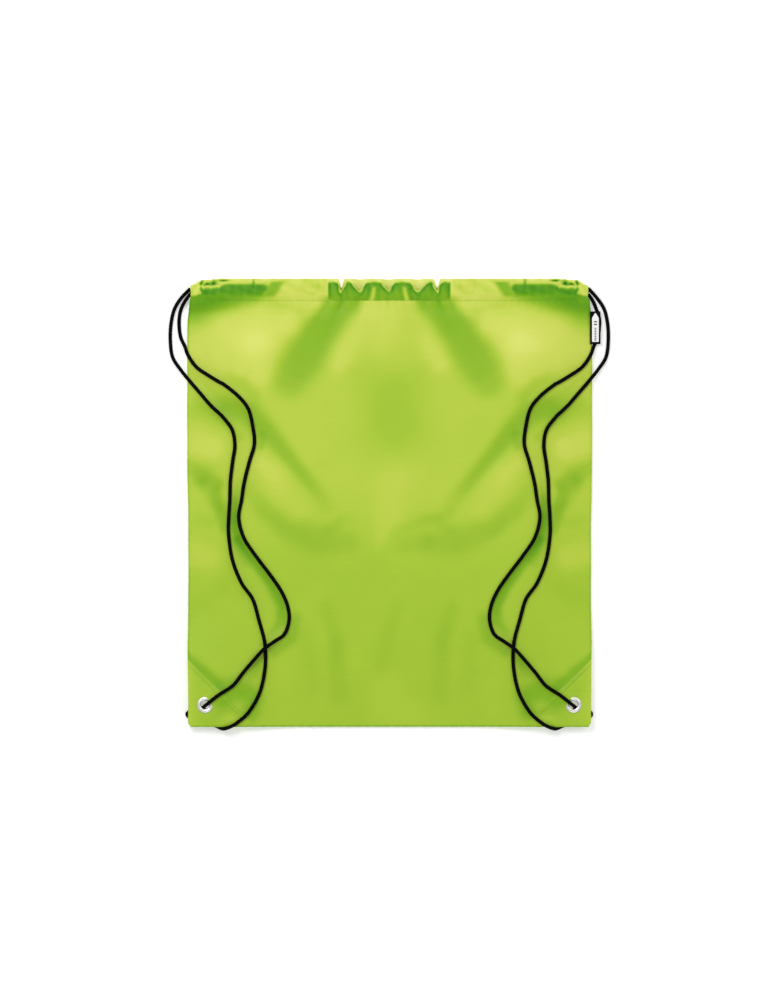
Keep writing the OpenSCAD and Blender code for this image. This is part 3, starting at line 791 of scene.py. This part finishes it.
def make_casing(which):
    """A casing: a flat tube of cloth, narrower towards the mouth's corners."""
    xs = np.linspace(-HALF_W, HALF_W, 451)
    angle = np.linspace(0, 2 * np.pi, 56, endpoint=False)
    x, a = np.meshgrid(xs, angle, indexing="ij")
    y, z = casing_surface(x, a, which)
    z = np.maximum(z, 0.12)
    tone = casing_shading(x, y, which) + 0.03 * waves(x * 2, y * 3, 3.3)
    shift = 2.1 + 0.25 * np.sin(y * 0.5 + x * 0.02) + 0.03 * (y - STITCH_Y)
    shift = shift + 0.5 * np.clip(y - 193.5, 0, 9)
    shift = np.sign(x) * np.abs(shift * ease((np.abs(x) - 150) / 30))
    y_in, z_in = casing_surface(x, a, which, CASING_WALL)
    z_in = np.clip(z_in, z.min(axis=1, keepdims=True) + CASING_WALL, None)
    faces = grid_faces(*x.shape, wrap=True)[:, ::-1]
    points, faces = shell(as_points(x - shift, y, z), faces, as_points(x - shift, y_in, z_in))
    # the inner wall's tone is 0.2 lower, as painted shade inside the tube
    return cloth_object(f"{which}_casing_cloth", points, faces, tone.ravel(), inside=0.2, sharp=70)


# ---- corner patches

PATCH_LEG = 60
PATCH_HEM = 3.5
PATCH_RISE = 0.2
PATCH_WALL = 0.25


def patch_surface(x, y, from_hem, level):
    """The outer face of a patch, which is thicker along its turned hem."""
    hem = PATCH_RISE * ease((PATCH_HEM + 0.5 - from_hem) / 1.0)
    row = bell(from_hem - 0.9, 0.45) + bell(from_hem - PATCH_HEM + 0.3, 0.5)
    ripple = 0.12 * np.sin((x - y) * 0.9) * np.exp(-np.abs(from_hem - PATCH_HEM) / 3)
    rise = PATCH_RISE + hem - 0.1 * row + ripple - 0.25 * ease(1 - from_hem / 0.5)
    if level == "front":
        return front_z(x, y) + panel_folds(x, y) - edge_drop(x, y) + rise
    return back_z(x, y) + edge_drop(x, y) + 0.1 - rise


def patch_grid(side):
    """A triangle in the corner: x, y, and the distance from its slanting hem."""
    r, s = np.meshgrid(np.linspace(0.012, 1, 64), np.linspace(0, 1, 72), indexing="ij")
    x = side * (HALF_W - r * PATCH_LEG * (1 - s))
    y = FOLD_Y + 0.1 + r * PATCH_LEG * s
    return x, y, (1 - r) * PATCH_LEG / math.sqrt(2)


def make_patch(side_name, side, level):
    """A corner patch on the front or the back."""
    x, y, from_hem = patch_grid(side)
    far = np.abs(x)
    z = patch_surface(x, y, from_hem, level)
    if level == "front":
        z = pressed(x, y, z)
    z = np.maximum(z, 0.08)
    # the patch's tone: painted shade along the hem's edges, a spot of painted shade and one of painted light
    # in the corner, and paler towards the side edge
    clear = 0.25 + 0.75 * ease((far - 146) / 16)
    tone = 0.62 - 0.07 * clear * bell(from_hem - PATCH_HEM, 0.8)
    tone = tone + 0.14 * np.exp(-(HALF_W - far) / 7) + 0.03 * waves(x * 3, y * 3, 5.1)
    tone = tone - 0.14 * clear * bell(from_hem - 0.2, 0.5) - 0.04 * (1 - clear) * ease((y + 198) / 8)
    tone = tone - 0.16 * bell(far - 149, 8) * bell(y + 179, 6)
    tone = tone + 0.12 * bell(far - 142, 7) * bell(y + 193, 4)
    faces = grid_faces(*x.shape)
    if (side > 0) == (level == "front"):
        faces = faces[:, ::-1]
    outer, faces, tone = eyelet_hole(as_points(x + edge_wander(x, y), y, z), faces, tone)
    inner = outer - [0, 0, PATCH_WALL if level == "front" else -PATCH_WALL]
    points, faces = shell(outer, faces, inner)
    return cloth_object(f"{level}_{side_name}_patch_cloth", points, faces, tone)


# ---- stitches

def stitch(start, end, up, radius, sunk=0.12):
    """One stitch of thread: a small rounded bow that dives into the cloth at both ends."""
    start, end, up = (np.asarray(v, float) for v in (start, end, up))
    t = np.linspace(0, 1, 7)[:, None]
    bow = np.sin(np.pi * t) ** 0.6
    path = start + (end - start) * t + up * (bow * (radius + 0.05) - sunk)
    radii = radius * (0.55 + 0.45 * np.sin(np.pi * t[:, 0]) ** 0.5)
    return tube_mesh(path, radii, 7)


def stitch_row(line, pitch, surface, up, gap, radius):
    """Stitches along a straight line between two points, each set on surface(x, y)."""
    (ax, ay), (bx, by) = line
    length = math.hypot(bx - ax, by - ay)
    parts = []
    for k in range(int(length / pitch)):
        ends = []
        for along in (k * pitch + gap / 2, (k + 1) * pitch - gap / 2):
            x = np.array(ax + (bx - ax) * (along / length))
            y = np.array(ay + (by - ay) * (along / length))
            ends.append((x, y, surface(x, y)))
        parts.append(stitch(*ends, up, radius))
    return parts


def make_casing_stitches(which):
    """The row of stitches that closes a casing."""
    if which == "front":
        surface = lambda x, y: front_z(x, y) + panel_folds(x, y)
        up = (0, 0, 1)
    else:
        surface = lambda x, y: back_z(x, y) + edge_drop(x, y)
        up = (0, 0, -1)
    line = [(-HALF_W + 2.8, STITCH_LINE_Y), (HALF_W - 2.8, STITCH_LINE_Y)]
    row = stitch_row(line, 3.0, surface, up, gap=0.7, radius=0.18)
    return new_object(f"{which}_casing_stitches", *joined(row))


def make_patch_stitches(side_name, side):
    """Two rows of stitches along the hem of the front patch and of the back patch."""
    parts = []
    for level, up in (("front", (0, 0, 1)), ("back", (0, 0, -1))):
        for from_hem in (0.9, PATCH_HEM - 0.3):
            leg = PATCH_LEG - from_hem * math.sqrt(2)
            surface = lambda x, y, f=from_hem, lv=level: patch_surface(x, y, np.array(f), lv)
            line = [(side * (HALF_W - 1), FOLD_Y + leg - 1), (side * (HALF_W - leg + 1), FOLD_Y + 1)]
            parts += stitch_row(line, 2.6, surface, up, gap=0.6, radius=0.17)
    return new_object(f"{side_name}_patch_stitches", *joined(parts))


# ---- eyelets

def lathe(name, profile, side):
    """A closed profile of (radius, z) points, turned round the upright line of a side's eyelet."""
    profile = np.asarray(profile, float)
    turn = np.linspace(0, 2 * np.pi, 96, endpoint=False)
    r, t = np.meshgrid(profile[:, 0], turn)
    z = np.broadcast_to(profile[:, 1], r.shape)
    points = as_points(side * EYELET_X + r * np.cos(t), EYELET_Y + r * np.sin(t), z)
    n = len(profile)
    faces = []
    for k in range(len(turn)):
        a, b = k * n, (k + 1) % len(turn) * n
        faces += [(a + i, b + i, b + (i + 1) % n, a + (i + 1) % n) for i in range(n)]
    return new_object(name, points, faces, 50)


def arc(cx, cz, radius, start, stop, steps=8, flat=1.0):
    """Points of an arc in the (radius, z) plane, from start to stop degrees."""
    a = np.radians(np.linspace(start, stop, steps))
    return [(cx + radius * math.cos(t), cz + flat * radius * math.sin(t)) for t in a]


def make_eyelet(side_name, side):
    """The eyelet's domed flange, its barrel, and the lip rolled out behind the corner."""
    low, high = box_mm(f"{side_name}_eyelet")
    throat, barrel = 3.75, 4.35
    top, bottom = high[2], low[2]
    rim = (FLANGE_R - throat) / 2
    crown = arc((FLANGE_R + throat) / 2, top - 1.0, rim, 0, 180, 18, 1.0 / rim)
    throat_wall = [(throat, top - 1.3), (throat, bottom + 0.7)]
    roll = arc(throat + 0.9, bottom + 0.6, 0.9, 180, 360, 12, 0.66)
    back_up = [(throat + 1.5, bottom + 0.9), (barrel + 0.15, bottom + 1.1), (barrel, top - 1.5)]
    under = [(barrel + 0.4, top - 1.25), (FLANGE_R - 0.5, top - 1.25), (FLANGE_R - 0.1, top - 1.15)]
    return lathe(f"{side_name}_eyelet_ring", crown + throat_wall + roll + back_up + under, side)


def make_washer(side_name, side):
    """The dished washer behind the corner."""
    low, high = box_mm(f"{side_name}_eyelet_washer")
    inner, outer = 4.5, FLANGE_R - 0.6
    z0, z1 = low[2], high[2]
    profile = arc(outer - 0.25, (z0 + z1) / 2, 0.25, 90, -90, 7, (z1 - z0) / 0.5)
    profile += [(inner + 1.2, z0 + 0.02), (inner + 0.6, z0 + 0.14), (inner, z0 + 0.2)]
    profile += [(inner, z1 - 0.05), (inner + 0.4, z1)]
    return lathe(f"{side_name}_washer_ring", profile, side)


# ---- label

LABEL_LOW, LABEL_HIGH = box_mm("side_label")
LABEL_ROOT_X = LABEL_LOW[0] - 0.8
FACE_LOW, FACE_HIGH = box_mm("side_label_print")
# The pale face leaves a black border on the ribbon
FACE_LOW = FACE_LOW + [0.1, 1.2, 0]
FACE_HIGH = FACE_HIGH - [0.7, 0.2, 0]


def label_z(x, y):
    """The middle of the ribbon, which curls a little."""
    u = (x - LABEL_ROOT_X) / (LABEL_HIGH[0] - LABEL_ROOT_X)
    v = (y - LABEL_LOW[1]) / (LABEL_HIGH[1] - LABEL_LOW[1])
    return (LABEL_LOW[2] + LABEL_HIGH[2]) / 2 + 0.2 * np.sin(v * np.pi * 1.1) * u + 0.15 * u


def make_label():
    """The black ribbon, with fine ribs across it and thicker selvedges."""
    u, v = np.meshgrid(np.linspace(0, 1, 25), np.linspace(0, 1, 60))
    x = LABEL_ROOT_X + (LABEL_HIGH[0] - LABEL_ROOT_X) * u
    y = LABEL_LOW[1] + (LABEL_HIGH[1] - LABEL_LOW[1]) * v
    ribs = 0.035 * np.sin(v * 2 * np.pi * 46)
    edge = np.minimum(np.minimum(u, 1 - u) * 8, np.minimum(v, 1 - v) * 25)
    middle = as_points(x, y, label_z(x, y))
    lift = as_points(0 * x, 0 * y, 0.22 + 0.06 * bell(edge - 0.5, 0.3) + ribs * (edge > 0.35))
    points, faces = shell(middle + lift, grid_faces(*x.shape), middle - lift)
    return new_object("side_label_ribbon", points, faces, SOFT_EDGE)


def outline_mesh(corners, step, base, rise):
    """A thin raised face between corners, from a height of base over the ribbon's middle."""
    outline = []
    for a, b in zip(corners, corners[1:] + corners[:1]):
        a, b = np.array(a, float), np.array(b, float)
        count = max(1, int(np.linalg.norm(b - a) / step))
        outline += [a + (b - a) * k / count for k in range(count)]
    outline = np.array(outline)
    centre = outline.mean(axis=0)
    rings = 5
    points = []
    for k in range(rings):
        q = centre + (outline - centre) * (1 - 0.98 * k / (rings - 1))
        points.append(np.column_stack([q, label_z(q[:, 0], q[:, 1]) + base + rise * min(1, k * 2)]))
    n = len(outline)
    faces = grid_faces(rings, n, wrap=True).tolist()
    faces.append(tuple(range((rings - 1) * n, rings * n)))
    faces.append(tuple(range(n - 1, -1, -1)))
    return np.concatenate(points), faces


def make_label_print():
    """The pale tag-shaped face of the label."""
    (x0, y0, _), (x1, y1, _) = FACE_LOW, FACE_HIGH
    neck, inset = 4.8, 2.6
    corners = [
        (x0, y0), (x1, y0), (x1, y1 - neck), (x1 - inset, y1 - 0.6),
        (x0 + inset, y1 - 0.6), (x0, y1 - neck),
    ]
    return new_object("side_label_face", *outline_mesh(corners, 0.6, 0.27, 0.1), SOFT_EDGE)


def make_label_bars():
    """Plain woven bars in place of any mark."""
    middle = (FACE_LOW[0] + FACE_HIGH[0]) / 2
    parts = []
    lines = [(1.2 + 1.5 * k, 2.1 + 1.5 * k, 0.9) for k in range(8)]
    for start, end, half in [*lines, (15.0, 16.2, 1.5), (17.4, 18.6, 1.5)]:
        left, right = middle - half, middle + half
        y0, y1 = FACE_LOW[1] + start, FACE_LOW[1] + end
        corners = [(left, y0), (right, y0), (right, y1), (left, y1)]
        parts.append(outline_mesh(corners, 0.4, 0.36, 0.06))
    return new_object("side_label_bars", *joined(parts), SOFT_EDGE)


# ---- materials

def linear(rgb):
    """Scene colour of an 8-bit display colour."""
    c = np.array(rgb, float) / 255
    return tuple(np.where(c <= 0.04045, c / 12.92, ((c + 0.055) / 1.055) ** 2.4)) + (1.0,)


class Nodes:
    """A short way to add and link shader nodes."""

    def __init__(self, name, roughness, metallic=0.0, specular=0.5, sheen=0.0):
        self.material = bpy.data.materials.new(name)
        self.material.use_nodes = True
        self.tree = self.material.node_tree
        self.shader = self.tree.nodes["Principled BSDF"]
        self.set(self.shader, {
            "Roughness": roughness, "Metallic": metallic, "Specular IOR Level": specular,
            "Sheen Weight": sheen, "Sheen Roughness": 0.4,
        })
        self.where = self.add("ShaderNodeTexCoord").outputs["Object"]

    def add(self, kind, **settings):
        """A new node with its properties set."""
        node = self.tree.nodes.new(kind)
        for key, value in settings.items():
            setattr(node, key, value)
        return node

    def set(self, node, values):
        """Values for a node's inputs."""
        for key, value in values.items():
            node.inputs[key].default_value = value

    def link(self, source, target):
        """A wire from an output to an input."""
        self.tree.links.new(source, target)

    def math(self, operation, a, b):
        """Sum, product and so on of two numbers or sockets."""
        node = self.add("ShaderNodeMath", operation=operation)
        for socket, value in zip(node.inputs, (a, b)):
            if isinstance(value, (int, float)):
                socket.default_value = value
            else:
                self.link(value, socket)
        return node.outputs[0]

    def noise(self, scale, detail=3.0, stretch=None):
        """Noise with so many blotches to the metre, stretched along the axes."""
        node = self.add("ShaderNodeTexNoise")
        self.set(node, {"Scale": scale, "Detail": detail})
        source = self.where
        if stretch:
            mapping = self.add("ShaderNodeMapping")
            self.set(mapping, {"Scale": stretch})
            self.link(source, mapping.inputs["Vector"])
            source = mapping.outputs["Vector"]
        self.link(source, node.inputs["Vector"])
        return node.outputs["Fac"]

    def bands(self, direction, per_metre):
        """Fine parallel threads, side by side along X or Y."""
        node = self.add(
            "ShaderNodeTexWave", wave_type="BANDS", bands_direction=direction, wave_profile="SIN"
        )
        self.set(node, {"Scale": per_metre * math.pi / 10, "Distortion": 0})
        self.link(self.where, node.inputs["Vector"])
        return node.outputs["Fac"]

    def colour(self, source, stops):
        """Colours the material by a ramp of (position, 8-bit display colour)."""
        node = self.add("ShaderNodeValToRGB")
        elements = node.color_ramp.elements
        while len(elements) < len(stops):
            elements.new(0.5)
        for element, (position, rgb) in zip(elements, stops):
            element.position = position
            element.color = linear(rgb)
        self.link(source, node.inputs["Fac"])
        self.link(node.outputs["Color"], self.shader.inputs["Base Color"])

    def bump(self, height, strength, distance):
        """Relief in the shading, of a distance in metres."""
        node = self.add("ShaderNodeBump")
        self.set(node, {"Strength": strength, "Distance": distance})
        self.link(height, node.inputs["Height"])
        self.link(node.outputs["Normal"], self.shader.inputs["Normal"])


# Colour of the cloth by tone: its lime with painted shade and painted light, from the painted shade inside a
# fold at -0.3 to the painted highlight on the palest ridge at 1.2
LIME_AND_SHADING_STOPS = [
    (-0.3, (28, 78, 2)), (0.0, (62, 136, 4)), (0.2, (92, 160, 8)), (0.48, (133, 182, 28)),
    (0.58, (150, 189, 42)), (0.69, (167, 200, 52)), (0.8, (183, 207, 66)), (0.86, (192, 210, 74)),
    (1.0, (212, 222, 98)), (1.2, (232, 238, 132)),
]


def cloth_material(name, roughness, weave_depth, grain=1.0):
    """Satin nylon: a fine plain weave, a soft sheen, small creases and a tone that carries the painted light
    and shade of the folds.
    """
    m = Nodes(name, roughness, specular=0.18, sheen=0.03)
    tone = m.add("ShaderNodeAttribute", attribute_name="tone").outputs["Fac"]
    patchy = m.math("MULTIPLY", m.math("SUBTRACT", m.noise(38, 4), 0.5), 0.06 * grain)
    slub = m.math("MULTIPLY", m.math("SUBTRACT", m.noise(900, 2, (0.08, 1, 1)), 0.5), 0.05 * grain)
    weave = m.math("MULTIPLY", m.bands("X", 1900), m.bands("Y", 1700))
    fine = m.math("ADD", slub, m.math("MULTIPLY", weave, 0.03))
    shown = m.math("ADD", m.math("ADD", tone, patchy), fine)
    # The ramp runs from 0 to 1, and its tones from -0.3 to 1.2
    placed = m.math("DIVIDE", m.math("ADD", shown, 0.3), 1.5)
    m.colour(placed, [((position + 0.3) / 1.5, rgb) for position, rgb in LIME_AND_SHADING_STOPS])
    creases = m.math("MULTIPLY", m.noise(120, 5), 1.4)
    m.bump(m.math("ADD", weave, creases), 0.35, weave_depth)
    return m.material


def thread_material():
    """Twisted thread, a little darker than the cloth."""
    m = Nodes("thread", 0.6, specular=0.3, sheen=0.2)
    m.colour(m.noise(700, 2), [(0.3, (112, 166, 30)), (0.7, (152, 194, 56))])
    m.bump(m.noise(2600, 2, (1, 4, 1)), 0.5, 0.0001)
    return m.material


def cord_material():
    """Matt black cord; its braid is in the mesh."""
    m = Nodes("braided_cord", 0.8, specular=0.06)
    m.colour(m.noise(1100, 3), [(0.25, (2, 2, 2)), (0.75, (10, 10, 11))])
    m.bump(m.noise(3200, 3), 0.6, 0.0001)
    return m.material


def nickel_material():
    """Bright nickel with faint rubbing marks."""
    m = Nodes("nickel", 0.3, metallic=0.75)
    m.colour(m.noise(260, 4), [(0.3, (222, 222, 218)), (0.75, (246, 246, 242))])
    rough = m.add("ShaderNodeMapRange")
    m.set(rough, {"To Min": 0.24, "To Max": 0.42})
    m.link(m.noise(420, 5), rough.inputs["Value"])
    m.link(rough.outputs["Result"], m.shader.inputs["Roughness"])
    m.bump(m.noise(1800, 3), 0.25, 0.00005)
    return m.material


def ribbon_material(name, dark, light, roughness):
    """Fine woven ribbon between two colours."""
    m = Nodes(name, roughness, specular=0.08)
    weave = m.math("MULTIPLY", m.bands("X", 2600), m.bands("Y", 1700))
    tone = m.math("ADD", m.math("MULTIPLY", weave, 0.5), m.math("MULTIPLY", m.noise(500, 3), 0.5))
    m.colour(tone, [(0.1, dark), (0.7, light)])
    m.bump(weave, 0.5, 0.0001)
    return m.material


PANEL_CLOTH = cloth_material("lime_nylon", 0.44, 0.00012)
CASING_CLOTH = cloth_material("lime_nylon_hem", 0.47, 0.00012)
PATCH_CLOTH = cloth_material("lime_nylon_patch", 0.5, 0.00014, 1.3)
THREAD = thread_material()
CORD = cord_material()
NICKEL = nickel_material()
LABEL_BLACK = ribbon_material("label_ribbon", (2, 2, 3), (14, 14, 15), 0.7)
LABEL_PALE = ribbon_material("label_face", (236, 236, 235), (252, 252, 251), 0.55)
LABEL_GREY = ribbon_material("label_bars", (62, 62, 66), (96, 96, 100), 0.6)


def dress(piece, material, slot, *nodes, body="bag"):
    """Gives a piece its material, body and the CAD nodes that it stands for. The slot argument is not used.
    """
    piece.data.materials.append(material)
    if body:
        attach(piece, body)
    if nodes:
        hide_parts(*nodes)
    return piece


# ---- the bag

# The cords have their CAD nodes, and the knots and the runs in the casings their body, from the place where
# they are made
for piece in cord_pieces:
    dress(piece, CORD, "cord", body=None)

front_panel = dress(make_panel("front"), PANEL_CLOTH, "panel_cloth", "front_panel")
back_panel = dress(make_panel("back"), PANEL_CLOTH, "panel_cloth", "back_panel")
dress(make_bottom_fold(), PANEL_CLOTH, "panel_cloth", "bottom_fold")

casings = {}
for level in ("front", "back"):
    casings[level] = dress(make_casing(level), CASING_CLOTH, "casing_cloth", f"{level}_casing")
for level, casing in casings.items():
    stitches = dress(make_casing_stitches(level), THREAD, "thread", f"{level}_casing_stitching")

for side_name, side in SIDES.items():
    dress(make_side_seam(side_name, side), CASING_CLOTH, "casing_cloth", f"{side_name}_side_seam")
    stitches = dress(make_patch_stitches(side_name, side), THREAD, "thread", f"{side_name}_patch_stitching")
    for level in ("front", "back"):
        patch = make_patch(side_name, side, level)
        dress(patch, PATCH_CLOTH, "patch_cloth", f"{level}_{side_name}_patch")
    dress(make_eyelet(side_name, side), NICKEL, "nickel", f"{side_name}_eyelet")
    dress(make_washer(side_name, side), NICKEL, "nickel", f"{side_name}_eyelet_washer")

dress(make_label(), LABEL_BLACK, "label_ribbon", "side_label", body="label")
dress(make_label_print(), LABEL_PALE, "label_print", "side_label_print", body="label")
dress(make_label_bars(), LABEL_GREY, "label_print", body="label")


# ---- floor, light and picture

def make_floor():
    """A wide white floor, lit a little from within as in a shop's picture."""
    size = 6.0
    mesh = bpy.data.meshes.new("floor")
    corners = [(-size, -size, 0), (size, -size, 0), (size, size, 0), (-size, size, 0)]
    mesh.from_pydata(corners, [], [(0, 1, 2, 3)])
    floor = bpy.data.objects.new("floor", mesh)
    bpy.context.scene.collection.objects.link(floor)
    m = Nodes("white_floor", 0.9, specular=0.05)
    m.set(m.shader, {"Emission Color": (1, 1, 1, 1), "Emission Strength": 0.35})
    m.colour(m.noise(3, 2), [(0.3, (226, 226, 226)), (0.7, (230, 230, 230))])
    mesh.materials.append(m.material)


def soft_light(name, place, size, power):
    """A round soft light, turned to the middle of the bag."""
    data = bpy.data.lights.new(name, "AREA")
    data.shape = "DISK"
    data.size = size
    data.energy = power
    lamp = bpy.data.objects.new(name, data)
    lamp.location = place
    lamp.rotation_euler = (-Vector(place)).to_track_quat("-Z", "Y").to_euler()
    bpy.context.scene.collection.objects.link(lamp)


make_floor()
soft_light("key_light", (-0.7, 0.9, 1.9), 1.0, 20.5)
soft_light("fill_light", (1.2, 0.9, 1.8), 1.4, 9.5)
soft_light("low_light", (0.2, -1.6, 1.5), 1.4, 6.8)
world = bpy.data.worlds.new("world")
world.use_nodes = True
background = world.node_tree.nodes["Background"].inputs
background["Color"].default_value = (1, 1, 1, 1)
background["Strength"].default_value = 0.45
bpy.context.scene.world = world
bpy.context.scene.view_settings.view_transform = "Standard"
